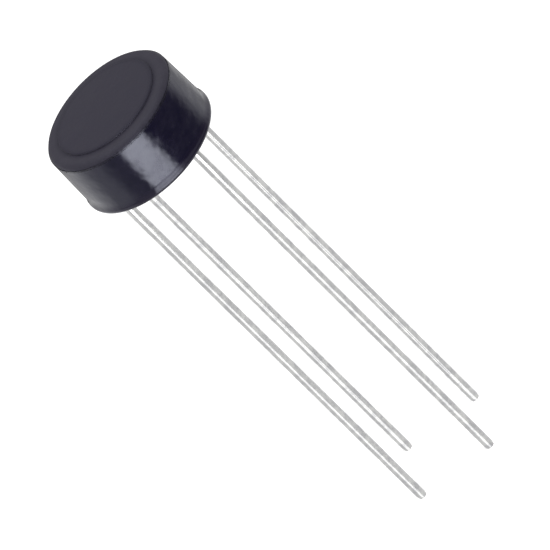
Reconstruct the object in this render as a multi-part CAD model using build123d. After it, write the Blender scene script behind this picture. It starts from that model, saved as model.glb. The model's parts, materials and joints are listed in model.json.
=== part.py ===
"""Round single-phase bridge rectifier with four long wire leads, in millimetres.

The frame is the one a board designer uses: +Z runs up the body's axis, and the origin is the centre of the
seating plane, which is the flat rim of the case. The body stands above it and the leads hang below it.

How it goes together: the inner end of each round lead is coined flat, bent inwards and spread into a
half-disc plate. The two AC plates lie side by side at the lower level, and the positive and negative plates
lie above them, turned by a quarter. Where an upper plate crosses a lower one, a silicon die is soldered
between them, so the four crossings are the four diodes of the bridge. The stack hangs in a moulded cup,
and resin poured in from the open end seals it and holds the leads.
"""

from build123d import *

import math
import os

# ---- leads: round tinned copper wire on a square pitch
LEAD_PITCH = 5.08
LEAD_DIAMETER = 0.68
LEAD_LENGTH = 28.5  # from the seating plane to the cut tip
LEAD_TIP_BEVEL = 0.06  # the shorn edge, broken all round

# ---- the coined inner end of a lead
PLATE_THICKNESS = 0.36  # the coined strip and the half-disc plate are one thickness
COIN_TAPER_LENGTH = 0.5  # length over which the round wire turns into the flat strip
BEND_RADIUS = 0.3  # inside radius where the strip turns inwards
NECK_ROUND = 0.2  # root radius between the strip and the half disc
PLATE_SPLIT = 0.7  # gap between the two half discs of one level
PLATE_TO_STRIP = 0.5  # clearance from a plate's rim to the strips that pass it
LOWER_PLATE_HEIGHT = 1.7  # underside of the AC plates above the seating plane

# ---- dice and solder
DIE_SIDE = 1.4
DIE_THICKNESS = 0.25
MESA_BEVEL = 0.1  # bevelled, glass-covered edge on the anode face
DIE_MARGIN = 0.12  # from the die to the straight edges of both plates
SOLDER_THICKNESS = 0.05
SOLDER_FLARE = 0.05  # how far the solder spreads on the plate past the die's face

# ---- moulded cup
CASE_WALL = 0.4
CASE_TOP = 0.54
SIDE_DRAFT = 1.6  # degrees, wider at the open end
TOP_EDGE_ROUND = 0.45
RIM_FLARE = 0.08  # how far the rim stands out past the drafted side
RIM_FLARE_HEIGHT = 0.7  # where the side starts to sweep out to the rim
RIM_BAND_HEIGHT = 0.26  # the upright edge of the rim, below the sweep
RIM_EDGE_ROUND = 0.2
INNER_CORNER_BEVEL = 0.25
SHOULDER_WIDTH = 0.94  # from the side to the raised disc on the top
TOP_DISC_HEIGHT = 0.12
TOP_DISC_BEVEL = 0.05

# ---- resin
LEAD_COVER = 0.2  # resin between a lead and the cup's wall, at the seating plane
PLATE_COVER = 0.8  # resin between the upper plates and the cup's ceiling
RESIN_RECESS = 0.15  # the resin's flat face above the seating plane
MENISCUS = 0.1  # how far the resin climbs the wall and the leads
COIN_UNDER_RESIN = 0.06  # the coined part starts this far below the resin's flat face

# ---- what follows from them
lead_radius = LEAD_DIAMETER / 2
lead_circle = LEAD_PITCH / math.sqrt(2)  # from the body's axis to a lead's axis
strip_width = math.pi * lead_radius**2 / PLATE_THICKNESS  # coining keeps the wire's section area
strip_inner_face = lead_circle - PLATE_THICKNESS / 2
plate_radius = strip_inner_face - PLATE_TO_STRIP

die_base = LOWER_PLATE_HEIGHT + PLATE_THICKNESS + SOLDER_THICKNESS
die_top = die_base + DIE_THICKNESS
upper_plate_height = die_top + SOLDER_THICKNESS
die_distance = math.sqrt(2) * (PLATE_SPLIT / 2 + DIE_MARGIN + DIE_SIDE / 2)  # from the body's axis

ceiling = upper_plate_height + PLATE_THICKNESS + PLATE_COVER
shoulder = ceiling + CASE_TOP
cavity_rim_radius = lead_circle + lead_radius + LEAD_COVER
case_side_radius = cavity_rim_radius + CASE_WALL  # the drafted side, run on down to the seating plane
case_rim_radius = case_side_radius + RIM_FLARE

# Each lead: the direction of its corner in degrees, and the height of its plate's underside.
LEADS = {
    "lead_positive": (45, upper_plate_height),
    "lead_ac_1": (-45, LOWER_PLATE_HEIGHT),
    "lead_negative": (-135, upper_plate_height),
    "lead_ac_2": (135, LOWER_PLATE_HEIGHT),
}

# Each diode: the direction of its crossing in degrees, and whether its anode faces the upper plate.
# The positive plate collects cathodes and the negative plate feeds anodes.
DIODES = {1: (0, False), 2: (90, False), 3: (180, True), 4: (270, True)}


def draft_inset(height):
    """How far the drafted side has moved in at this height above the seating plane."""
    return height * math.tan(math.radians(SIDE_DRAFT))


def turned(outline):
    """A solid turned about the body's axis from an outline drawn as (radius, height)."""
    return revolve(Plane.XZ * outline, Axis.Z)


def corner_of(outline, radius, height):
    """The outline's corner nearest to (radius, height)."""
    return outline.vertices().sort_by_distance((radius, height))[0]


def rounded(outline, radius, height, fillet_radius):
    """The outline with its corner nearest to (radius, height) rounded."""
    return fillet(corner_of(outline, radius, height), fillet_radius)


def bevelled(outline, radius, height, bevel):
    """The outline with its corner nearest to (radius, height) cut off."""
    return chamfer(corner_of(outline, radius, height), bevel)


def cavity_radius(height):
    """The radius of the cup's inside at this height."""
    return cavity_rim_radius - draft_inset(height)


def cavity():
    """The cup's inside, from the seating plane to the ceiling."""
    top_radius = cavity_radius(ceiling)
    outline = make_face(Polyline((0, 0), (cavity_rim_radius, 0), (top_radius, ceiling), (0, ceiling), close=True))
    return turned(bevelled(outline, top_radius, ceiling, INNER_CORNER_BEVEL))


def side_radius(height):
    """The radius of the cup's drafted side at this height."""
    return case_side_radius - draft_inset(height)


def rim_sweep():
    """The hollow curve that leads the drafted side out to the rim."""
    draft = math.radians(SIDE_DRAFT)
    start = (side_radius(RIM_FLARE_HEIGHT), RIM_FLARE_HEIGHT)
    return TangentArc(start, (case_rim_radius, RIM_BAND_HEIGHT), tangent=(math.sin(draft), -math.cos(draft)))


def case_shell():
    """The moulded cup: drafted side, rounded top edge, a raised disc on the top and a flared, flat seating rim."""
    side_top = side_radius(shoulder)
    disc_radius = side_top - SHOULDER_WIDTH
    disc_top = shoulder + TOP_DISC_HEIGHT
    edges = Polyline(
        (case_rim_radius, RIM_BAND_HEIGHT),
        (case_rim_radius, 0),
        (0, 0),
        (0, disc_top),
        (disc_radius, disc_top),
        (disc_radius, shoulder),
        (side_top, shoulder),
        (side_radius(RIM_FLARE_HEIGHT), RIM_FLARE_HEIGHT),
    )
    outline = make_face([edges, rim_sweep()])
    outline = rounded(outline, case_rim_radius, 0, RIM_EDGE_ROUND)
    outline = rounded(outline, side_top, shoulder, TOP_EDGE_ROUND)
    outline = bevelled(outline, disc_radius, disc_top, TOP_DISC_BEVEL)
    return turned(outline) - cavity()


def half_disc_plate():
    """A plate's plan, drawn for a lead on +X: a half disc and the neck that joins it to the strip."""
    neck_end = strip_inner_face - BEND_RADIUS
    neck_start = PLATE_SPLIT / 2
    disc = Circle(plate_radius) & Pos((neck_start + plate_radius) / 2, 0) * Rectangle(
        plate_radius - neck_start, 2 * plate_radius
    )
    neck = Pos((neck_start + neck_end) / 2, 0) * Rectangle(neck_end - neck_start, strip_width)
    plan = disc + neck
    root_x = math.sqrt(plate_radius**2 - (strip_width / 2) ** 2)
    for side in (-1, 1):
        plan = rounded(plan, root_x, side * strip_width / 2, NECK_ROUND)
    return plan


def coined_strip(coin_end, plate_underside):
    """The flat strip, drawn for a lead on +X: straight up from the wire, then a quarter bend inwards."""
    bend_x = strip_inner_face - BEND_RADIUS
    bend_z = plate_underside - BEND_RADIUS
    outer_radius = BEND_RADIUS + PLATE_THICKNESS
    riser = Pos(lead_circle, (coin_end + bend_z) / 2) * Rectangle(PLATE_THICKNESS, bend_z - coin_end)
    quarter = Pos(outer_radius / 2, outer_radius / 2) * Rectangle(outer_radius, outer_radius)
    bend = Pos(bend_x, bend_z) * ((Circle(outer_radius) - Circle(BEND_RADIUS)) & quarter)
    return extrude(Plane.XZ * (riser + bend), strip_width / 2, both=True)


def coined_taper(coin_start, coin_end):
    """The wire's end as the press leaves it, drawn for a lead on +X: it flares sideways between two sloping flats."""
    flare_radius = math.hypot(PLATE_THICKNESS, strip_width) / 2
    middle = Pos(lead_circle, 0, (coin_start + coin_end) / 2)
    flare = middle * Cone(lead_radius, flare_radius, coin_end - coin_start)
    flats = Polyline(
        (lead_circle - lead_radius, coin_start),
        (lead_circle + lead_radius, coin_start),
        (lead_circle + PLATE_THICKNESS / 2, coin_end),
        (lead_circle - PLATE_THICKNESS / 2, coin_end),
        close=True,
    )
    return flare & extrude(Plane.XZ * make_face(flats), strip_width / 2, both=True)


def lead(corner_direction, plate_underside):
    """One lead in one piece: round wire, coined strip, bend and half-disc plate."""
    coin_start = RESIN_RECESS - COIN_UNDER_RESIN
    coin_end = coin_start + COIN_TAPER_LENGTH
    wire_length = coin_start + LEAD_LENGTH
    wire = Pos(lead_circle, 0, coin_start - wire_length / 2) * Cylinder(lead_radius, wire_length)
    wire = chamfer(wire.edges().sort_by(Axis.Z)[0], LEAD_TIP_BEVEL)
    strip = coined_taper(coin_start, coin_end) + coined_strip(coin_end, plate_underside)
    plate = extrude(Pos(0, 0, plate_underside) * half_disc_plate(), PLATE_THICKNESS)
    return Rot(0, 0, corner_direction) * (wire + strip + plate)


def at_crossing(direction, height):
    """The place of a piece in the diode stack, with its sides parallel to the plates' straight edges."""
    return Rot(0, 0, direction) * Pos(die_distance, 0, height) * Rot(0, 0, 45)


def die(direction, anode_up):
    """A silicon die whose anode face has bevelled edges."""
    block = Box(DIE_SIDE, DIE_SIDE, DIE_THICKNESS)
    anode_edges = block.edges().group_by(Axis.Z)[-1 if anode_up else 0]
    return at_crossing(direction, (die_base + die_top) / 2) * chamfer(anode_edges, MESA_BEVEL)


def solder(direction, above_die, on_anode):
    """The solder between one face of a die and its plate, which it wets a little more widely."""
    face_side = DIE_SIDE - 2 * MESA_BEVEL if on_anode else DIE_SIDE
    plate_side = face_side + 2 * SOLDER_FLARE
    die_face = die_top if above_die else die_base
    plate_face = upper_plate_height if above_die else die_base - SOLDER_THICKNESS
    return loft(
        [
            at_crossing(direction, die_face) * Rectangle(face_side, face_side),
            at_crossing(direction, plate_face) * Rectangle(plate_side, plate_side),
        ],
        ruled=True,
    )


def resin_body():
    """The resin before anything is cut from it: a flat face that climbs the wall in a meniscus."""
    climb = RESIN_RECESS - MENISCUS
    wall, top_radius = cavity_radius(climb), cavity_radius(ceiling)
    outline = make_face(
        Polyline(
            (0, RESIN_RECESS),
            (wall - MENISCUS, RESIN_RECESS),
            (wall, climb),
            (top_radius, ceiling),
            (0, ceiling),
            close=True,
        )
    )
    return turned(bevelled(outline, top_radius, ceiling, INNER_CORNER_BEVEL))


def lead_collar():
    """The ring of resin that climbs a lead, drawn for a lead on +Z."""
    foot_radius = lead_radius + MENISCUS
    return Pos(0, 0, RESIN_RECESS - MENISCUS / 2) * Cone(lead_radius, foot_radius, MENISCUS)


def resin_fill(inside):
    """The resin: it fills the cup round every piece inside."""
    fill = resin_body()
    for corner_direction, _ in LEADS.values():
        fill += Rot(0, 0, corner_direction) * Pos(lead_circle, 0, 0) * lead_collar()
    for piece in inside:
        fill -= piece
    return fill


def build_parts():
    """Every piece of the rectifier, by the name of its node."""
    parts = {name: lead(*place) for name, place in LEADS.items()}
    for number, (direction, anode_up) in DIODES.items():
        parts[f"die_{number}"] = die(direction, anode_up)
        parts[f"solder_anode_{number}"] = solder(direction, anode_up, True)
        parts[f"solder_cathode_{number}"] = solder(direction, not anode_up, False)
    parts["resin_fill"] = resin_fill(list(parts.values()))
    parts["case_shell"] = case_shell()
    return parts


def main():
    """Writes one STEP file for each piece."""
    os.makedirs("parts", exist_ok=True)
    for name, piece in build_parts().items():
        export_step(piece, f"parts/{name}.step")


if __name__ == "__main__":
    main()
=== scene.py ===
"""The looks of a round bridge rectifier with four wire leads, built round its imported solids.

Everything is in metres, in the part's own frame: +Z up the body's axis, the origin at the centre of the
seating plane, the leads hanging down to the floor. The moulded cup, the resin that closes it and the four
leads are rebuilt as finely as they show. The dice and the solder inside stay as they come, with finishes of
their own.
"""

import json
import logging
import math
from dataclasses import dataclass
from enum import Enum
from typing import Iterable, Sequence

import bmesh
import bpy
from mathutils import Matrix, Vector, noise


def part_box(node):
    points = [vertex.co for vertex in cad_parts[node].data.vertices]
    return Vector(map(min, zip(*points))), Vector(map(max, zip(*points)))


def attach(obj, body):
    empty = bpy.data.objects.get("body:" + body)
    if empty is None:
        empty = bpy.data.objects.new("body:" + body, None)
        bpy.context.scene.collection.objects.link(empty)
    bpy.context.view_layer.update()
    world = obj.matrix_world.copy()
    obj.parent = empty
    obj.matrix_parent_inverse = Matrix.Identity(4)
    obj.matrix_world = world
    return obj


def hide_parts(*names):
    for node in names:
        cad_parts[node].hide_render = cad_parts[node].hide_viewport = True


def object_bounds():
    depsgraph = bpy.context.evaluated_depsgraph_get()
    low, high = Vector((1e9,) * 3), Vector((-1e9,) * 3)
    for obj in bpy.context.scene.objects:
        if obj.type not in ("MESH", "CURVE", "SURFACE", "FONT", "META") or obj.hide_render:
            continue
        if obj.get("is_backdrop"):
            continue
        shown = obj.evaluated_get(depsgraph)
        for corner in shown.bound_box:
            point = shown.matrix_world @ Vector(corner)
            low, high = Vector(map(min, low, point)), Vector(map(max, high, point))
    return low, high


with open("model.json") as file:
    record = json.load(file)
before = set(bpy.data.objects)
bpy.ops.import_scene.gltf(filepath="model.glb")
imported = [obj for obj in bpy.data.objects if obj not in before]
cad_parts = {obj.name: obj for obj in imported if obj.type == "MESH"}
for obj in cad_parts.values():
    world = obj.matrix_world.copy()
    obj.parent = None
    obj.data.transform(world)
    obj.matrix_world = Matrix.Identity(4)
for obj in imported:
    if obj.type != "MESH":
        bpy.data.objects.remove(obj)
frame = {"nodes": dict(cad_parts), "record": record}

LOG = logging.getLogger("rectifier")

MM = 0.001
BODY = "root"
TOUCH = 1e-6  # points nearer than this are one point
LINES_ALONG = 0.03  # drawn lines are this share as fine along the wire as across it
LUMPS_ALONG = 0.5  # lumps of tin are this share as fine along the wire as across it

Colour = tuple[float, float, float, float]
Feed = bpy.types.NodeSocket | float | tuple[float, ...]  # what a socket takes: another socket, or a value
Setting = str | bpy.types.NodeTree


def grey(level: float) -> Colour:
    """An opaque neutral colour of this linear level."""
    return (level, level, level, 1.0)


# ---------------------------------------------------------------- mesh helpers


def turned(outline: Sequence[tuple[float, float]], steps: int) -> bmesh.types.BMesh:
    """Turns an outline about the body's axis.

    Args:
        outline: the corners as (radius, height), in order, in metres.
        steps: how many flats go round.

    Returns:
        A new bmesh whose poles and seam are closed and whose faces point outwards.
    """
    bm = bmesh.new()
    corners = [bm.verts.new((radius, 0.0, height)) for radius, height in outline]
    edges = [bm.edges.new(pair) for pair in zip(corners, corners[1:])]
    bmesh.ops.spin(
        bm,
        geom=corners + edges,
        axis=(0, 0, 1),
        cent=(0, 0, 0),
        dvec=(0, 0, 0),
        angle=math.tau,
        steps=steps,
        use_merge=True,
        use_normal_flip=False,
        use_duplicate=False,
    )
    bmesh.ops.remove_doubles(bm, verts=bm.verts, dist=TOUCH)
    bmesh.ops.recalc_face_normals(bm, faces=bm.faces)
    return bm


def hoop(bm: bmesh.types.BMesh, radius: float, height: float) -> list[bmesh.types.BMEdge]:
    """Finds the edges of a circle round the axis.

    Args:
        bm: the mesh to look in.
        radius: the radius of their circle.
        height: its height.

    Returns:
        The edges on that circle.
    """

    def on_hoop(vert: bmesh.types.BMVert) -> bool:
        """Whether a point lies on the hoop."""
        return abs(vert.co.xy.length - radius) < TOUCH and abs(vert.co.z - height) < TOUCH

    return [edge for edge in bm.edges if all(on_hoop(vert) for vert in edge.verts)]


def round_hoop(
    bm: bmesh.types.BMesh,
    radius: float,
    height: float,
    fillet: float,
    corner: float,
    segments: int,
) -> None:
    """Rounds the edge that goes round the axis at this radius and height.

    Args:
        bm: the mesh to change.
        radius: the edge's radius.
        height: the edge's height.
        fillet: the radius of the rounding.
        corner: the angle of material at the edge, in radians.
        segments: how many facets make the rounding.
    """
    bmesh.ops.bevel(
        bm,
        geom=hoop(bm, radius, height),
        offset=fillet / math.tan(corner / 2),
        offset_type="OFFSET",
        segments=segments,
        profile=0.5,
        affect="EDGES",
        material=-1,
        clamp_overlap=False,
    )


def pulled(
    bm: bmesh.types.BMesh,
    ring: Iterable[bmesh.types.BMEdge],
    move: Vector,
    grow: float,
    centre: Vector,
) -> list[bmesh.types.BMEdge]:
    """Extrudes a ring of edges once, then moves it and scales it across the axis.

    Args:
        bm: the mesh to change.
        ring: the edges of the ring.
        move: how far the new ring goes.
        grow: its size across the axis, as a factor.
        centre: the point that it is scaled about.

    Returns:
        The edges of the new ring.
    """
    made = bmesh.ops.extrude_edge_only(bm, edges=list(ring))["geom"]
    verts = [item for item in made if isinstance(item, bmesh.types.BMVert)]
    bmesh.ops.scale(bm, vec=(grow, grow, 1), space=Matrix.Translation(-centre), verts=verts)
    bmesh.ops.translate(bm, vec=move, verts=verts)
    return [item for item in made if isinstance(item, bmesh.types.BMEdge)]


def finished(
    bm: bmesh.types.BMesh, name: str, material: bpy.types.Material, crease: float = 35.0
) -> bpy.types.Object:
    """Turns a bmesh into an object at the origin with smooth faces and sharp creases.

    Args:
        bm: the mesh, which is freed.
        name: the piece's name.
        material: its finish.
        crease: edges that turn by more than this many degrees stay sharp.

    Returns:
        The new object, linked into the scene.
    """
    limit = math.radians(crease)
    for face in bm.faces:
        face.smooth = True
    for edge in bm.edges:
        edge.smooth = len(edge.link_faces) != 2 or edge.calc_face_angle(0.0) < limit
    mesh = bpy.data.meshes.new(name)
    bm.to_mesh(mesh)
    bm.free()
    mesh.materials.append(material)
    piece = bpy.data.objects.new(name, mesh)
    bpy.context.scene.collection.objects.link(piece)
    return piece


def even_normals(piece: bpy.types.Object) -> None:
    """Lets the broad faces set the shading, so that flats stay flat up to their rounded edges.

    Args:
        piece: the object to shade.
    """
    modifier = piece.modifiers.new("even_normals", "WEIGHTED_NORMAL")
    modifier.mode = "FACE_AREA_WITH_ANGLE"
    modifier.keep_sharp = True


# ---------------------------------------------------------------- shader helpers


class Wiring:
    """Adds nodes to a node tree and joins them."""

    def __init__(self, tree: bpy.types.NodeTree) -> None:
        """Takes the tree that the nodes go into."""
        self.tree = tree

    def node(self, kind: str, settings: dict[str, Setting] | None = None, **inputs: Feed) -> bpy.types.Node:
        """Adds a node.

        Args:
            kind: the node's type, without its ShaderNode prefix.
            settings: the node's own properties.
            inputs: what its sockets get, by name with _ for a space: a socket to link, or a value.

        Returns:
            The new node.
        """
        made = self.tree.nodes.new(kind if kind.startswith("NodeGroup") else f"ShaderNode{kind}")
        for key, value in (settings or {}).items():
            setattr(made, key, value)
        for key, value in inputs.items():
            self.feed(made.inputs[key.replace("_", " ")], value)
        return made

    def feed(self, socket: bpy.types.NodeSocket, value: Feed) -> None:
        """Links a socket, or sets its value.

        Args:
            socket: the socket to fill.
            value: what it gets.
        """
        if isinstance(value, bpy.types.NodeSocket):
            self.tree.links.new(value, socket)
        else:
            socket.default_value = value

    def math(self, operation: str, first: Feed, second: Feed = 0.0) -> bpy.types.NodeSocket:
        """Adds a Math node.

        Args:
            operation: what it works out.
            first: its first number.
            second: its second number, where it takes one.

        Returns:
            The result.
        """
        made = self.node("Math", {"operation": operation})
        self.feed(made.inputs[0], first)
        self.feed(made.inputs[1], second)
        return made.outputs[0]

    def spread(
        self,
        value: Feed,
        low: float,
        high: float,
        to_low: float = 0.0,
        to_high: float = 1.0,
        soft: bool = False,
    ) -> bpy.types.NodeSocket:
        """Maps a value from one range onto another and holds it there.

        Args:
            value: the value to map.
            low: where the first range starts.
            high: where it ends.
            to_low: what its start becomes.
            to_high: what its end becomes.
            soft: whether it eases in and out.

        Returns:
            The mapped value.
        """
        made = self.node("MapRange", {"interpolation_type": "SMOOTHSTEP" if soft else "LINEAR"}, Value=value)
        limits = {"From Min": low, "From Max": high, "To Min": to_low, "To Max": to_high}
        for name, limit in limits.items():
            made.inputs[name].default_value = limit
        return made.outputs["Result"]

    def blend(self, share: Feed, first: Feed, second: Feed) -> bpy.types.NodeSocket:
        """Mixes two colours.

        Args:
            share: how much there is of the second colour, from 0 to 1.
            first: the first colour.
            second: the second colour.

        Returns:
            The mixed colour.
        """
        made = self.node("Mix", {"data_type": "RGBA"})
        self.feed(made.inputs["Factor"], share)
        self.feed(made.inputs[6], first)
        self.feed(made.inputs[7], second)
        return made.outputs[2]

    def place(self) -> bpy.types.NodeSocket:
        """Object coordinates, in metres."""
        return self.node("TexCoord").outputs["Object"]

    def millimetres(self, along: float = 1.0) -> bpy.types.NodeSocket:
        """Object coordinates in millimetres, with the height scaled by this factor."""
        scale = (1 / MM, 1 / MM, along / MM)
        return self.node("Mapping", Vector=self.place(), Scale=scale).outputs["Vector"]

    def height(self, vector: bpy.types.NodeSocket) -> bpy.types.NodeSocket:
        """The upright part of a vector."""
        return self.node("SeparateXYZ", Vector=vector).outputs["Z"]

    def levelled(self, vector: bpy.types.NodeSocket) -> tuple[bpy.types.NodeSocket, bpy.types.NodeSocket]:
        """Lays a vector level.

        Args:
            vector: the vector, which keeps only its level part.

        Returns:
            The length of that part, and its direction.
        """
        level = self.node("VectorMath", {"operation": "MULTIPLY"})
        self.feed(level.inputs[0], vector)
        self.feed(level.inputs[1], (1.0, 1.0, 0.0))
        length = self.node("VectorMath", {"operation": "LENGTH"})
        self.feed(length.inputs[0], level.outputs["Vector"])
        outwards = self.node("VectorMath", {"operation": "NORMALIZE"})
        self.feed(outwards.inputs[0], level.outputs["Vector"])
        return length.outputs["Value"], outwards.outputs["Vector"]

    def cloud(self, effects: "Effects", size: float, contrast: float) -> bpy.types.NodeSocket:
        """The cloudy mottle, with clouds of this size in millimetres and this contrast."""
        made = self.node("Group", {"node_tree": effects.mottle}, Size=size, Contrast=contrast)
        return made.outputs["Cloud"]

    def bump(self, shader: bpy.types.Node, height: bpy.types.NodeSocket, distance: float) -> None:
        """Raises the shader's surface by a height of this distance in metres."""
        made = self.node("Bump", Height=height, Distance=distance, Strength=1.0)
        self.feed(shader.inputs["Normal"], made.outputs["Normal"])


def effect(
    name: str, inputs: dict[str, float], outputs: Sequence[str]
) -> tuple[bpy.types.NodeTree, Wiring, bpy.types.Node, bpy.types.Node]:
    """Starts a shared effect.

    Args:
        name: the node group's name.
        inputs: its number sockets and their defaults.
        outputs: its number outputs.

    Returns:
        The group, its wiring, its input node and its output node.
    """
    group = bpy.data.node_groups.new(name, "ShaderNodeTree")
    for label, default in inputs.items():
        socket = group.interface.new_socket(label, in_out="INPUT", socket_type="NodeSocketFloat")
        socket.default_value = default
    for label in outputs:
        group.interface.new_socket(label, in_out="OUTPUT", socket_type="NodeSocketFloat")
    wiring = Wiring(group)
    return group, wiring, wiring.node("NodeGroupInput"), wiring.node("NodeGroupOutput")


class Effects:
    """The shared effects, each built once."""

    def __init__(self) -> None:
        """Builds the node groups."""
        self.mottle = self._mottle()
        self.grain = self._grain()
        self.drawn = self._drawn()

    @staticmethod
    def _mottle() -> bpy.types.NodeTree:
        """Slow cloudy variation, from 0 to 1: where a surface is a little duller or more handled.

        Returns:
            The node group.
        """
        group, w, given, out = effect("cloudy_mottle", {"Size": 1.0, "Contrast": 0.5}, ["Cloud"])
        per_size = w.math("DIVIDE", 1.0, given.outputs["Size"])
        broad = w.node("TexNoise", Vector=w.millimetres(), Scale=per_size, Detail=4.0, Roughness=0.55)
        centred = w.math("SUBTRACT", broad.outputs["Fac"], 0.5)
        swing = w.math("MULTIPLY", centred, w.math("MULTIPLY", given.outputs["Contrast"], 4.0))
        result = w.node("Clamp", Value=w.math("ADD", swing, 0.5))
        w.feed(out.inputs["Cloud"], result.outputs["Result"])
        return group

    @staticmethod
    def _grain() -> bpy.types.NodeTree:
        """The height of a moulded or cast skin: fine grain over long shallow waves, in units of one grain.

        Returns:
            The node group.
        """
        sizes = {"Grain Size": 0.05, "Wave Size": 1.6, "Wave Share": 0.5}
        group, w, given, out = effect("moulded_grain", sizes, ["Height"])
        fine = w.node(
            "TexNoise",
            Vector=w.millimetres(),
            Scale=w.math("DIVIDE", 1.0, given.outputs["Grain Size"]),
            Detail=3.0,
            Roughness=0.6,
        )
        per_wave = w.math("DIVIDE", 1.0, given.outputs["Wave Size"])
        waves = w.node("TexNoise", Vector=w.millimetres(), Scale=per_wave, Detail=2.0)
        lifted = w.math("MULTIPLY", waves.outputs["Fac"], given.outputs["Wave Share"])
        w.feed(out.inputs["Height"], w.math("ADD", fine.outputs["Fac"], lifted))
        return group

    @staticmethod
    def _drawn() -> bpy.types.NodeTree:
        """The height of a drawn and dipped wire: fine lines along it under a skin of slow lumps.

        Returns:
            The node group.
        """
        sizes = {"Line Size": 0.03, "Lump Size": 0.9, "Lump Share": 1.0}
        group, w, given, out = effect("drawn_and_dipped", sizes, ["Height", "Lumps"])
        lines = w.node(
            "TexNoise",
            Vector=w.millimetres(LINES_ALONG),
            Scale=w.math("DIVIDE", 1.0, given.outputs["Line Size"]),
            Detail=2.0,
        )
        lumps = w.node(
            "TexNoise",
            Vector=w.millimetres(LUMPS_ALONG),
            Scale=w.math("DIVIDE", 1.0, given.outputs["Lump Size"]),
            Detail=3.0,
            Roughness=0.6,
        )
        lifted = w.math("MULTIPLY", lumps.outputs["Fac"], given.outputs["Lump Share"])
        w.feed(out.inputs["Height"], w.math("ADD", lines.outputs["Fac"], lifted))
        w.feed(out.inputs["Lumps"], lumps.outputs["Fac"])
        return group


def new_material(name: str) -> tuple[bpy.types.Material, Wiring, bpy.types.Node]:
    """Starts a material with nothing but its shader and output.

    Args:
        name: the material's name.

    Returns:
        The material, its wiring and its shader.
    """
    material = bpy.data.materials.new(name)
    material.use_nodes = True
    tree = material.node_tree
    tree.nodes.clear()
    wiring = Wiring(tree)
    shader = wiring.node("BsdfPrincipled")
    wiring.node("OutputMaterial", Surface=shader.outputs["BSDF"])
    return material, wiring, shader


# ---------------------------------------------------------------- finishes
# A pattern's size is in millimetres. Depths and places are in metres, written with MM.


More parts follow.
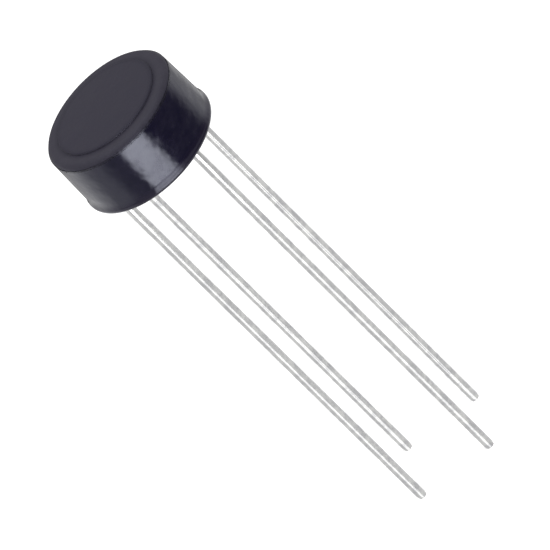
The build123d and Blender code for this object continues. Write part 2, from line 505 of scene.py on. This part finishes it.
@dataclass(frozen=True)
class MouldedCaseFinish:
    """Black moulding compound: a polished side and a satin top."""

    cloud_size: float = 0.8
    cloud_contrast: float = 0.6
    side_deep: Colour = (0.0035, 0.0022, 0.0170, 1.0)
    side_dusty: Colour = (0.0085, 0.0060, 0.0230, 1.0)
    # partly painted sheen: the top's colours are lighter than the side's to stand in for the sheen of its
    # satin finish, with a cloudy mottle between them
    top_deep_with_sheen: Colour = (0.0270, 0.0230, 0.0410, 1.0)
    top_dusty_with_sheen: Colour = (0.0320, 0.0280, 0.0440, 1.0)
    # painted light: the lighter colour that the shoulder and the top's rounded edge are painted towards
    shoulder_painted_light: Colour = (0.0410, 0.0370, 0.0540, 1.0)
    rim_paler: Colour = (0.0230, 0.0180, 0.0340, 1.0)
    rim_paling: float = 0.65  # how far the side turns to the paler rim colour at the rim itself
    # painted shade: the colour of a dark ring at the foot of the disc's step, where its corner lies in shade
    step_painted_shade: Colour = (0.0060, 0.0040, 0.0180, 1.0)
    step_shade_peak: float = 0.04 * MM  # from the disc's step to where the ring of painted shade is at its darkest
    step_shade_reach: float = 0.34 * MM  # from the step to where that ring of painted shade ends
    step_shade_strength: float = 0.40  # how dark the painted shade gets
    satin_edge: tuple[float, float] = (1.15, 0.25)  # below the shoulder, in roundings of the top edge
    disc_edge: tuple[float, float] = (0.3, 0.8)  # above the shoulder, in heights of the disc
    sheen: Colour = (0.84, 0.87, 1.00, 1.0)
    side_roughness: tuple[float, float] = (0.10, 0.24)
    top_roughness: tuple[float, float] = (0.50, 0.58)
    specular: float = 0.45
    grain: float = 0.045
    grain_depth: float = 0.00035 * MM
    wave: float = 1.3
    wave_share: float = 150.0

    def material(self, effects: Effects, case: "MouldedCase") -> bpy.types.Material:
        """Builds the material.

        Args:
            effects: the shared effects.
            case: the cup that it goes on, whose sizes say where each look starts and ends.

        Returns:
            The new material.
        """
        material, w, shader = new_material("moulded_case")
        height = w.height(w.place())
        starts, ends = (case.shoulder - share * case.top_round for share in self.satin_edge)
        satin = w.spread(height, starts, ends, soft=True)
        cloud = w.cloud(effects, self.cloud_size, self.cloud_contrast)
        side_colour = self.side_colour(w, case, height, cloud)
        top_colour = self.top_colour(w, case, height, cloud)
        w.feed(shader.inputs["Base Color"], w.blend(satin, side_colour, top_colour))
        side = w.spread(cloud, 0.0, 1.0, *self.side_roughness)
        top = w.spread(cloud, 0.0, 1.0, *self.top_roughness)
        kept = w.math("MULTIPLY", side, w.math("SUBTRACT", 1.0, satin))
        w.feed(shader.inputs["Roughness"], w.math("ADD", kept, w.math("MULTIPLY", top, satin)))
        skin = w.node(
            "Group",
            {"node_tree": effects.grain},
            Grain_Size=self.grain,
            Wave_Size=self.wave,
            Wave_Share=self.wave_share,
        )
        w.bump(shader, skin.outputs["Height"], self.grain_depth)
        shader.inputs["Specular IOR Level"].default_value = self.specular
        shader.inputs["Specular Tint"].default_value = self.sheen
        return material

    def side_colour(
        self, w: Wiring, case: "MouldedCase", height: bpy.types.NodeSocket, cloud: bpy.types.NodeSocket
    ) -> bpy.types.NodeSocket:
        """The polished side's colour, paler where it sweeps out to the rim.

        Args:
            w: the material's wiring.
            case: the cup that it goes on.
            height: how high a point lies.
            cloud: the cloudy mottle.

        Returns:
            The colour.
        """
        plain = w.blend(cloud, self.side_deep, self.side_dusty)
        sweep = (case.seat + case.flare_height, case.seat + case.band_height)
        # the side's colour turns paler towards the rim
        return w.blend(w.spread(height, *sweep, 0.0, self.rim_paling), plain, self.rim_paler)

    def top_colour(
        self, w: Wiring, case: "MouldedCase", height: bpy.types.NodeSocket, cloud: bpy.types.NodeSocket
    ) -> bpy.types.NodeSocket:
        """The satin top's colour, lighter than the side partly as painted sheen: the shoulder painted lighter
        than the disc as painted light, and a ring of painted shade beside the step.

        Args:
            w: the material's wiring.
            case: the cup that it goes on.
            height: how high a point lies.
            cloud: the cloudy mottle.

        Returns:
            The colour.
        """
        low, high = (case.shoulder + share * case.disc_height for share in self.disc_edge)
        disc = w.spread(height, low, high)
        # partly painted sheen: the disc's mottled colour, lighter than the side's
        worn_with_sheen = w.blend(cloud, self.top_deep_with_sheen, self.top_dusty_with_sheen)
        # painted light: the shoulder is painted lighter than the disc, with the cloudy mottle over it
        shoulder_painted_lighter = w.blend(cloud, self.top_dusty_with_sheen, self.shoulder_painted_light)
        away, _ = w.levelled(w.place())
        # painted shade: a dark ring painted round the foot of the disc's step, darkest just beside it
        from_step = w.math("ABSOLUTE", w.math("SUBTRACT", away, case.disc_radius))
        beside = w.spread(from_step, 0.0, self.step_shade_peak)
        reach = w.spread(from_step, self.step_shade_peak, self.step_shade_reach, self.step_shade_strength, 0.0)
        step_shade = w.math("MULTIPLY", beside, reach)
        return w.blend(step_shade, w.blend(disc, shoulder_painted_lighter, worn_with_sheen), self.step_painted_shade)


@dataclass(frozen=True)
class ResinFinish:
    """Black potting resin, poured and left to level: glossy, with long waves."""

    cloud_size: float = 1.4
    cloud_contrast: float = 0.7
    deep: Colour = (0.0065, 0.0060, 0.0085, 1.0)
    cloudy: Colour = (0.0125, 0.0118, 0.0150, 1.0)
    roughness: tuple[float, float] = (0.08, 0.20)
    specular: float = 0.5
    grain: float = 0.3
    wave: float = 2.2
    wave_share: float = 4.0
    depth: float = 0.0012 * MM

    def material(self, effects: Effects) -> bpy.types.Material:
        """Builds the material.

        Args:
            effects: the shared effects.

        Returns:
            The new material.
        """
        material, w, shader = new_material("potting_resin")
        cloud = w.cloud(effects, self.cloud_size, self.cloud_contrast)
        w.feed(shader.inputs["Base Color"], w.blend(cloud, self.deep, self.cloudy))
        w.feed(shader.inputs["Roughness"], w.spread(cloud, 0.0, 1.0, *self.roughness))
        skin = w.node(
            "Group",
            {"node_tree": effects.grain},
            Grain_Size=self.grain,
            Wave_Size=self.wave,
            Wave_Share=self.wave_share,
        )
        w.bump(shader, skin.outputs["Height"], self.depth)
        shader.inputs["Specular IOR Level"].default_value = self.specular
        return material


@dataclass(frozen=True)
class TinnedWireFinish:
    """Bright tin on drawn copper wire: pale, with drawn lines and a slightly lumpy skin."""

    cloud_size: float = 0.5
    cloud_contrast: float = 0.9
    bright: Colour = (0.86, 0.86, 0.85, 1.0)
    dull: Colour = (0.66, 0.66, 0.67, 1.0)
    roughness: tuple[float, float] = (0.10, 0.16)
    line: float = 0.03
    depth: float = 0.0005 * MM
    lump: float = 0.9
    lump_share: float = 2.5
    lump_span: tuple[float, float] = (0.3, 0.7)

    def material(self, effects: Effects) -> bpy.types.Material:
        """Builds the material.

        Args:
            effects: the shared effects.

        Returns:
            The new material.
        """
        material, w, shader = new_material("tinned_wire")
        skin = w.node(
            "Group",
            {"node_tree": effects.drawn},
            Line_Size=self.line,
            Lump_Size=self.lump,
            Lump_Share=self.lump_share,
        )
        cloud = w.cloud(effects, self.cloud_size, self.cloud_contrast)
        w.feed(shader.inputs["Base Color"], w.blend(cloud, self.bright, self.dull))
        roughness = w.spread(skin.outputs["Lumps"], *self.lump_span, *self.roughness)
        w.feed(shader.inputs["Roughness"], roughness)
        w.bump(shader, skin.outputs["Height"], self.depth)
        shader.inputs["Metallic"].default_value = 1.0
        return material


@dataclass(frozen=True)
class InnerMetalFinish:
    """What the resin hides: silicon or solder, dull and slightly uneven."""

    name: str
    pale: Colour
    dark: Colour
    roughness: tuple[float, float]
    metallic: float
    cloud_size: float = 0.25
    cloud_contrast: float = 0.8

    def material(self, effects: Effects) -> bpy.types.Material:
        """Builds the material.

        Args:
            effects: the shared effects.

        Returns:
            The new material.
        """
        material, w, shader = new_material(self.name)
        cloud = w.cloud(effects, self.cloud_size, self.cloud_contrast)
        w.feed(shader.inputs["Base Color"], w.blend(cloud, self.pale, self.dark))
        w.feed(shader.inputs["Roughness"], w.spread(cloud, 0.0, 1.0, *self.roughness))
        shader.inputs["Metallic"].default_value = self.metallic
        return material


SILICON = InnerMetalFinish(
    name="silicon",
    pale=(0.20, 0.21, 0.24, 1.0),
    dark=(0.11, 0.12, 0.14, 1.0),
    roughness=(0.25, 0.40),
    metallic=0.6,
)
SOLDER = InnerMetalFinish(
    name="solder",
    pale=(0.62, 0.62, 0.63, 1.0),
    dark=(0.45, 0.45, 0.47, 1.0),
    roughness=(0.30, 0.50),
    metallic=1.0,
)


# ---------------------------------------------------------------- the part


@dataclass
class MouldedCase:
    """The moulded cup: a drafted side, a rounded top edge, a raised disc on its top and a flared rim."""

    node: str = "case_shell"
    slot: str = "moulded_case"
    draft: float = math.radians(1.6)
    wall: float = 0.40 * MM
    top_thickness: float = 0.54 * MM
    disc_height: float = 0.12 * MM
    disc_bevel: float = 0.10 * MM
    shoulder_width: float = 0.94 * MM
    top_round: float = 0.45 * MM
    flare: float = 0.08 * MM
    flare_height: float = 0.70 * MM
    band_height: float = 0.26 * MM
    rim_round: float = 0.20 * MM
    inner_bevel: float = 0.25 * MM
    steps: int = 180
    side_rows: int = 12
    flare_rows: int = 6
    top_facets: int = 10
    edge_facets: int = 5

    def __post_init__(self) -> None:
        """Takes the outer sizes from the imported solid."""
        low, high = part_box(self.node)
        self.rim_radius = high.x
        self.seat = low.z
        self.top = high.z
        self.shoulder = self.top - self.disc_height
        self.ceiling = self.shoulder - self.top_thickness
        self.disc_radius = self.outer_radius(self.shoulder) - self.shoulder_width

    def outer_radius(self, height: float) -> float:
        """The radius of the drafted side at this height."""
        return self.rim_radius - self.flare - (height - self.seat) * math.tan(self.draft)

    def inner_radius(self, height: float) -> float:
        """The radius of the inside at this height."""
        return self.outer_radius(height) - self.wall

    def side(self) -> list[tuple[float, float]]:
        """The drafted side from the shoulder down to where it starts to sweep out.

        Returns:
            Its corners as (radius, height).
        """
        low, high = self.seat + self.flare_height, self.shoulder
        heights = [high + (low - high) * row / self.side_rows for row in range(self.side_rows + 1)]
        return [(self.outer_radius(height), height) for height in heights]

    def sweep(self) -> list[tuple[float, float]]:
        """The hollow curve from the side out to the rim, an arc that leaves the side along it.

        Returns:
            Its corners after the first, as (radius, height).
        """
        start = Vector((self.outer_radius(self.seat + self.flare_height), self.seat + self.flare_height))
        end = Vector((self.rim_radius, self.seat + self.band_height))
        outwards = Vector((math.cos(self.draft), math.sin(self.draft)))
        chord = end - start
        radius = chord.length_squared / (2 * chord.dot(outwards))
        turn = 2 * math.asin(chord.length / (2 * radius))
        centre = start + outwards * radius
        arm = start - centre
        angles = [turn * row / self.flare_rows for row in range(1, self.flare_rows + 1)]
        return [tuple(centre + Matrix.Rotation(angle, 2) @ arm) for angle in angles]

    def build(self, material: bpy.types.Material) -> bpy.types.Object:
        """Models the cup and stands it in for its solid.

        Args:
            material: the finish of the cup.

        Returns:
            The new piece.
        """
        side_top = self.outer_radius(self.shoulder)
        outline = [(0.0, self.top), (self.disc_radius, self.top), (self.disc_radius, self.shoulder)]
        outline += self.side() + self.sweep()
        outline += [
            (self.rim_radius, self.seat),
            (self.inner_radius(self.seat), self.seat),
            (self.inner_radius(self.ceiling), self.ceiling),
            (0.0, self.ceiling),
        ]
        bm = turned(outline, self.steps)
        square = math.pi / 2
        round_hoop(bm, side_top, self.shoulder, self.top_round, square + self.draft, self.top_facets)
        round_hoop(bm, self.rim_radius, self.seat, self.rim_round, square, self.edge_facets)
        round_hoop(bm, self.inner_radius(self.ceiling), self.ceiling, self.inner_bevel, square, segments=1)
        round_hoop(bm, self.disc_radius, self.top, self.disc_bevel, square, self.edge_facets)
        piece = finished(bm, "moulded_cup", material)
        even_normals(piece)
        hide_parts(self.node)
        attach(piece, BODY)
        return piece


@dataclass
class WireLead:
    """One tinned lead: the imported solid's inner end, and a wire drawn on from it down to its shorn tip."""

    node: str
    centre: Vector
    radius: float
    slot: str = "tinned_wire"
    draw_from: float = 0.0  # the height below which the wire is drawn on
    rows: int = 110
    tip_bevel: float = 0.06 * MM
    dish: float = 0.02 * MM
    dish_width: float = 0.80
    swell: float = 0.03
    unevenness: float = 0.004 * MM
    lump: float = 1.6 * MM

    def build(self, material: bpy.types.Material, tip: float) -> bpy.types.Object:
        """Models the lead and stands it in for its solid.

        Args:
            material: the finish of the wire.
            tip: the height of the cut tip.

        Returns:
            The new piece.
        """
        bm = bmesh.new()
        bm.from_mesh(frame["nodes"][self.node].data)
        bmesh.ops.remove_doubles(bm, verts=bm.verts, dist=TOUCH)
        bmesh.ops.bisect_plane(
            bm,
            geom=bm.verts[:] + bm.edges[:] + bm.faces[:],
            dist=TOUCH / 10,
            plane_co=(0, 0, self.draw_from),
            plane_no=(0, 0, -1),
            clear_outer=True,
        )
        ring = [edge for edge in bm.edges if edge.is_boundary]
        reach = self.draw_from - (tip + self.tip_bevel)
        for _ in range(self.rows):
            ring = pulled(bm, ring, Vector((0, 0, -reach / self.rows)), 1.0, self.centre)
        drawn = [vert for vert in bm.verts if vert.co.z < self.draw_from - TOUCH]
        for vert in drawn:
            outwards = Vector((vert.co.x - self.centre.x, vert.co.y - self.centre.y, 0))
            sway = noise.noise(vert.co / self.lump)
            inwards = (1 + sway) / 2  # never outwards, so that the wire stays within its solid
            vert.co -= outwards.normalized() * self.unevenness * inwards
        self.shear(bm, ring)
        bmesh.ops.recalc_face_normals(bm, faces=bm.faces)
        piece = finished(bm, f"{self.node}_wire", material)
        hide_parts(self.node)
        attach(piece, BODY)
        return piece

    def shear(self, bm: bmesh.types.BMesh, ring: list[bmesh.types.BMEdge]) -> None:
        """Closes the tip as the cutter leaves it: an edge drawn in all round and a slightly dished face.

        Args:
            bm: the mesh to change.
            ring: the edges round the open end.
        """
        share = 1 - self.tip_bevel / self.radius
        middle = (1 + share) / 2 + self.swell
        half = Vector((0, 0, -self.tip_bevel / 2))
        ring = pulled(bm, ring, half, middle, self.centre)
        ring = pulled(bm, ring, half, share / middle, self.centre)
        ring = pulled(bm, ring, Vector((0, 0, self.dish)), self.dish_width, self.centre)
        made = bmesh.ops.holes_fill(bm, edges=ring, sides=0)
        bmesh.ops.poke(bm, faces=made["faces"])


@dataclass
class ResinFill:
    """The potting resin: a level face that climbs the wall and each lead in a small curve."""

    case: MouldedCase
    leads: list[WireLead]
    node: str = "resin_fill"
    slot: str = "potting_resin"
    climb: float = 0.10 * MM
    arc_steps: int = 5
    wall_steps: int = 144
    lead_steps: int = 40

    def ring(
        self, bm: bmesh.types.BMesh, centre: Vector, radius: float, steps: int
    ) -> list[bmesh.types.BMEdge]:
        """Adds a ring of edges on the resin's level face.

        Args:
            bm: the mesh to add to.
            centre: the centre of the ring.
            radius: its radius.
            steps: how many edges it has.

        Returns:
            The edges of the ring.
        """
        made = bmesh.ops.create_circle(
            bm, cap_ends=False, segments=steps, radius=radius, matrix=Matrix.Translation(centre)
        )
        points = set(made["verts"])
        return [edge for edge in bm.edges if all(vert in points for vert in edge.verts)]

    def climbing(
        self,
        bm: bmesh.types.BMesh,
        ring: Iterable[bmesh.types.BMEdge],
        centre: Vector,
        start: float,
        outwards: bool,
    ) -> list[bmesh.types.BMEdge]:
        """Draws a ring down in a quarter circle against a wall or a lead.

        Args:
            bm: the mesh to change.
            ring: the edges of the ring.
            centre: the point that it goes round.
            start: its radius.
            outwards: whether it climbs what is outside it.

        Returns:
            The edges of the last ring.
        """
        side = 1 if outwards else -1
        radius, height = start, 0.0
        for step in range(1, self.arc_steps + 1):
            angle = math.pi / 2 * step / self.arc_steps
            next_radius = start + side * self.climb * math.sin(angle)
            next_height = self.climb * (1 - math.cos(angle))
            drop = Vector((0, 0, height - next_height))
            ring = pulled(bm, ring, drop, next_radius / radius, centre)
            radius, height = next_radius, next_height
        return ring

    def build(self, material: bpy.types.Material, level: float) -> bpy.types.Object:
        """Models the resin and stands it in for its solid.

        Args:
            material: the finish of the resin.
            level: the height of its level face.

        Returns:
            The new piece.
        """
        bm = bmesh.new()
        axis = Vector((0, 0, level))
        low = level - self.climb
        wall = self.case.inner_radius(low)
        outer = self.ring(bm, axis, wall - self.climb, self.wall_steps)
        holes = []
        for lead in self.leads:
            centre = Vector((lead.centre.x, lead.centre.y, level))
            foot = lead.radius + self.climb
            holes.append((self.ring(bm, centre, foot, self.lead_steps), centre, foot))
        rims = outer + [edge for ring, _, _ in holes for edge in ring]
        bmesh.ops.triangle_fill(bm, use_beauty=True, use_dissolve=False, edges=rims, normal=(0, 0, -1))
        for ring, centre, foot in holes:
            end = self.climbing(bm, ring, centre, foot, outwards=False)
            bmesh.ops.holes_fill(bm, edges=end, sides=0)
        outer = self.climbing(bm, outer, axis, wall - self.climb, outwards=True)
        roof = self.case.inner_radius(self.case.ceiling)
        lift = Vector((0, 0, self.case.ceiling - low))
        outer = pulled(bm, outer, lift, roof / wall, axis)
        bmesh.ops.holes_fill(bm, edges=outer, sides=0)
        bmesh.ops.recalc_face_normals(bm, faces=bm.faces)
        piece = finished(bm, "poured_resin", material, crease=50.0)
        even_normals(piece)
        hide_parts(self.node)
        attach(piece, BODY)
        return piece


# ---------------------------------------------------------------- the studio


@dataclass(frozen=True)
class Viewpoint:
    """Where the camera stands and how it is turned, with angles in degrees and its lens in millimetres."""

    azimuth: float = 15.96
    elevation: float = 30.52
    roll: float = 45.39
    distance: float = 556.0 * MM
    aim: float = -11.75 * MM
    lens: float = 625.6
    sensor: float = 36.0
    nearest: float = 10 * MM
    farthest: float = 10.0

    def backwards(self) -> Vector:
        """The direction from the part to the camera."""
        around, up = math.radians(self.azimuth), math.radians(self.elevation)
        return Vector((math.sin(around) * math.cos(up), -math.cos(around) * math.cos(up), math.sin(up)))

    def build(self) -> bpy.types.Object:
        """Makes the camera the scene's own.

        Returns:
            The camera.
        """
        data = bpy.data.cameras.new("camera")
        data.lens = self.lens
        data.sensor_width = self.sensor
        data.clip_start = self.nearest
        data.clip_end = self.farthest
        camera = bpy.data.objects.new("camera", data)
        back = self.backwards()
        camera.location = Vector((0, 0, self.aim)) + back * self.distance
        level = (-back).to_track_quat("-Z", "Y").to_matrix()
        camera.rotation_euler = (level @ Matrix.Rotation(-math.radians(self.roll), 3, "Z")).to_euler()
        bpy.context.scene.collection.objects.link(camera)
        bpy.context.scene.camera = camera
        return camera


class Direction(Enum):
    """Which way something stands from the part, in degrees round it from the -Y side towards +X."""

    AHEAD = 0.0
    FRONT = 7.0
    FRONT_LEFT = -40.0
    LEFT = -84.0
    BEHIND = 196.0
    RIGHT = 122.0

    def pointer(self) -> tuple[float, float, float]:
        """The level direction that points there."""
        around = math.radians(self.value)
        return (math.sin(around), -math.cos(around), 0.0)


@dataclass(frozen=True)
class Sector:
    """A sector of the surroundings that shines more than the rest of them, for mirrors only.

    Its widths are in degrees, and a strength below 0 dims it.
    """

    direction: Direction
    half_width: float
    softness: float
    strength: float

    def share(self, w: Wiring, outwards: bpy.types.NodeSocket) -> bpy.types.NodeSocket:
        """How strongly the sector shines in a direction.

        Args:
            w: the wiring of the floor's material or of the world.
            outwards: the level direction, of length 1.

        Returns:
            The sector's strength, which fades to 0 across its edges.
        """
        product = w.node("VectorMath", {"operation": "DOT_PRODUCT"})
        w.feed(product.inputs[0], outwards)
        w.feed(product.inputs[1], self.direction.pointer())
        edge, core = (math.cos(math.radians(self.half_width + sign * self.softness)) for sign in (1, -1))
        return w.spread(product.outputs["Value"], edge, core, 0.0, self.strength, soft=True)


def front(strength: float) -> Sector:
    """The sector in front at this strength."""
    return Sector(Direction.FRONT, half_width=20.5, softness=6.5, strength=strength)


FLOOR_SECTORS = (
    front(2.4),
    Sector(Direction.FRONT_LEFT, half_width=30.0, softness=10.0, strength=0.30),
    Sector(Direction.LEFT, half_width=34.0, softness=14.0, strength=0.62),
    Sector(Direction.RIGHT, half_width=15.0, softness=8.0, strength=0.32),
    Sector(Direction.BEHIND, half_width=84.0, softness=12.0, strength=0.55),
    Sector(Direction.BEHIND, half_width=18.0, softness=8.0, strength=-0.60),
)
FRONT_PATCHES = front(5.3)
LOW_BOX = front(5.4)
BELOW_SECTORS = (
    Sector(Direction.AHEAD, half_width=22.0, softness=5.0, strength=0.65),
    Sector(Direction.BEHIND, half_width=65.0, softness=6.0, strength=0.8),
    Sector(Direction.BEHIND, half_width=18.0, softness=8.0, strength=-1.1),
)


def mirror_rays(w: Wiring, rays: bpy.types.Node) -> bpy.types.NodeSocket:
    """1 for the rays by which metal and glass show what is round them."""
    return w.math("ADD", rays.outputs["Is Glossy Ray"], rays.outputs["Is Transmission Ray"])


@dataclass(frozen=True)
class PaleFloor:
    """A plain pale floor that the leads stand on, white to the camera.

    Mirrors see softly lit sectors of it from a way off on. Nearer the part they look past it to the world.
    Each pair of sizes is how far from the part's axis something starts to fade and has faded.
    """

    half_side: float = 1.5
    paint: Colour = grey(0.80)
    camera_glow: float = 0.60
    near_edge: tuple[float, float] = (51.5 * MM, 55 * MM)
    near_patch: tuple[float, float] = (82 * MM, 120 * MM)
    far_patch: tuple[float, float] = (160 * MM, 200 * MM)
    far_share: float = 0.66
    far_glow: float = -0.52  # mirrors see the paint dimmed by this much

    def build(self, height: float) -> bpy.types.Object:
        """Adds the floor.

        Args:
            height: how high it lies.

        Returns:
            The floor.
        """
        bm = bmesh.new()
        bmesh.ops.create_grid(bm, x_segments=1, y_segments=1, size=self.half_side)
        bmesh.ops.translate(bm, vec=(0, 0, height), verts=bm.verts)
        floor = finished(bm, "floor", self.material())
        floor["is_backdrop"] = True
        return floor

    def mirrored(
        self, w: Wiring, away: bpy.types.NodeSocket, outwards: bpy.types.NodeSocket
    ) -> bpy.types.NodeSocket:
        """What mirrors see of the floor beyond its paint.

        Args:
            w: the material's wiring.
            away: how far a point lies from the part's axis.
            outwards: the level direction to it, of length 1.

        Returns:
            The strength of its glow to them.
        """
        near_patch = w.spread(away, *self.near_patch, 1.0, 0.0, soft=True)
        patches = w.math("ADD", near_patch, w.spread(away, *self.far_patch, 0.0, self.far_share, soft=True))
        total = w.math("ADD", w.math("MULTIPLY", FRONT_PATCHES.share(w, outwards), patches), self.far_glow)
        for sector in FLOOR_SECTORS:
            total = w.math("ADD", sector.share(w, outwards), total)
        return total

    def material(self) -> bpy.types.Material:
        """Matt paint that glows only for the camera and for mirrors, so that it keeps the part's shadow.

        Returns:
            The new material.
        """
        material = bpy.data.materials.new("pale_floor")
        material.use_nodes = True
        material.node_tree.nodes.clear()
        w = Wiring(material.node_tree)
        away, outwards = w.levelled(w.place())
        rays = w.node("LightPath")
        mirrors = mirror_rays(w, rays)
        seen = w.math("MULTIPLY", rays.outputs["Is Camera Ray"], self.camera_glow)
        strength = w.math("ADD", seen, w.math("MULTIPLY", mirrors, self.mirrored(w, away, outwards)))
        glow = w.node("Emission", Color=grey(1.0), Strength=strength)
        paint = w.node("BsdfDiffuse", Color=self.paint)
        both = w.node("AddShader")
        w.feed(both.inputs[0], paint.outputs["BSDF"])
        w.feed(both.inputs[1], glow.outputs["Emission"])
        near = w.spread(away, *self.near_edge, 1.0, 0.0, soft=True)
        result = w.node("MixShader", Fac=w.math("MULTIPLY", mirrors, near))
        w.feed(result.inputs[1], both.outputs["Shader"])
        w.feed(result.inputs[2], w.node("BsdfTransparent").outputs["BSDF"])
        w.node("OutputMaterial", Surface=result.outputs["Shader"])
        return material


@dataclass(frozen=True)
class TopLight:
    """A large square lamp above the part."""

    above: float = 120 * MM
    side: float = 90 * MM
    radiance: float = 1.2

    def build(self) -> bpy.types.Object:
        """Adds the lamp, which looks straight down.

        Returns:
            The lamp.
        """
        data = bpy.data.lights.new("top_light", "AREA")
        data.shape = "SQUARE"
        data.size = self.side
        data.energy = self.radiance * math.pi * self.side * self.side
        lamp = bpy.data.objects.new(data.name, data)
        lamp.location = (0.0, 0.0, self.above)
        lamp.visible_camera = False
        bpy.context.scene.collection.objects.link(lamp)
        return lamp


@dataclass(frozen=True)
class Surroundings:
    """The studio round the part: white to the camera, softer to all else, sectors of light to mirrors.

    Each pair is the height at which something starts to change and has changed, in a direction of length 1.
    """

    light: float = 0.75
    above: float = 0.45
    below: float = 0.67
    horizon: tuple[float, float] = (-0.10, -0.25)
    box_top: tuple[float, float] = (0.10, 0.26)
    box_foot: tuple[float, float] = (-0.42, -0.30)

    def mirrored(self, w: Wiring) -> bpy.types.NodeSocket:
        """What mirrors see: even light above, a low box in front, and softly lit sectors below.

        Args:
            w: the world's wiring.

        Returns:
            The strength of the light to them.
        """
        towards = w.node("TexCoord").outputs["Generated"]
        _, outwards = w.levelled(towards)
        height = w.height(towards)
        low = self.below - self.above
        for sector in BELOW_SECTORS:
            low = w.math("ADD", sector.share(w, outwards), low)
        total = w.math("ADD", w.math("MULTIPLY", low, w.spread(height, *self.horizon, soft=True)), self.above)
        upright = w.math(
            "MULTIPLY", w.spread(height, *self.box_top, 1.0, 0.0, soft=True), w.spread(height, *self.box_foot)
        )
        return w.math("ADD", total, w.math("MULTIPLY", LOW_BOX.share(w, outwards), upright))

    def build(self) -> None:
        """Sets up the world."""
        world = bpy.data.worlds.new("studio")
        world.use_nodes = True
        world.node_tree.nodes.clear()
        w = Wiring(world.node_tree)
        rays = w.node("LightPath")
        seen = w.math("MULTIPLY", rays.outputs["Is Camera Ray"], 1.0 - self.light)
        gloss = w.math("MULTIPLY", mirror_rays(w, rays), w.math("SUBTRACT", self.mirrored(w), self.light))
        strength = w.math("ADD", w.math("ADD", seen, gloss), self.light)
        ground = w.node("Background", Color=grey(1.0), Strength=strength)
        w.node("OutputWorld", Surface=ground.outputs["Background"])
        bpy.context.scene.world = world


def build_part(effects: Effects) -> None:
    """Builds the part's pieces in order and reports each.

    Args:
        effects: the shared effects.
    """
    record = frame["record"]
    case = MouldedCase()
    case_finish = MouldedCaseFinish().material(effects, case)
    LOG.info("built %s", case.build(case_finish).name)

    pins = {mount["name"]: mount for mount in record["mounts"] if mount["kind"] == "pin"}
    leads = [
        WireLead(name.replace("pin", "lead"), Vector(pin["pos_m"]), pin["dims"]["r_mm"] * MM)
        for name, pin in sorted(pins.items())
    ]
    wire = TinnedWireFinish().material(effects)
    for lead in leads:
        LOG.info("built %s", lead.build(wire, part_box(lead.node)[0].z).name)

    resin = ResinFill(case, leads)
    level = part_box(resin.node)[0].z + resin.climb
    LOG.info("built %s", resin.build(ResinFinish().material(effects), level).name)

    inner = {"die": SILICON.material(effects), "solder": SOLDER.material(effects)}
    for name, node in frame["nodes"].items():
        kind = name.split("_")[0]
        if kind in inner:
            node.data.materials.clear()
            node.data.materials.append(inner[kind])
            LOG.info("finished %s", name)


def main() -> None:
    """Builds the studio and the part."""
    logging.basicConfig(level=logging.INFO, format="%(message)s")
    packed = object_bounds()
    bpy.context.scene.view_settings.view_transform = "Standard"
    Viewpoint().build()
    build_part(Effects())
    floor = packed[0].z
    PaleFloor().build(floor)
    Surroundings().build()
    TopLight().build()


if __name__ == "__main__":
    main()
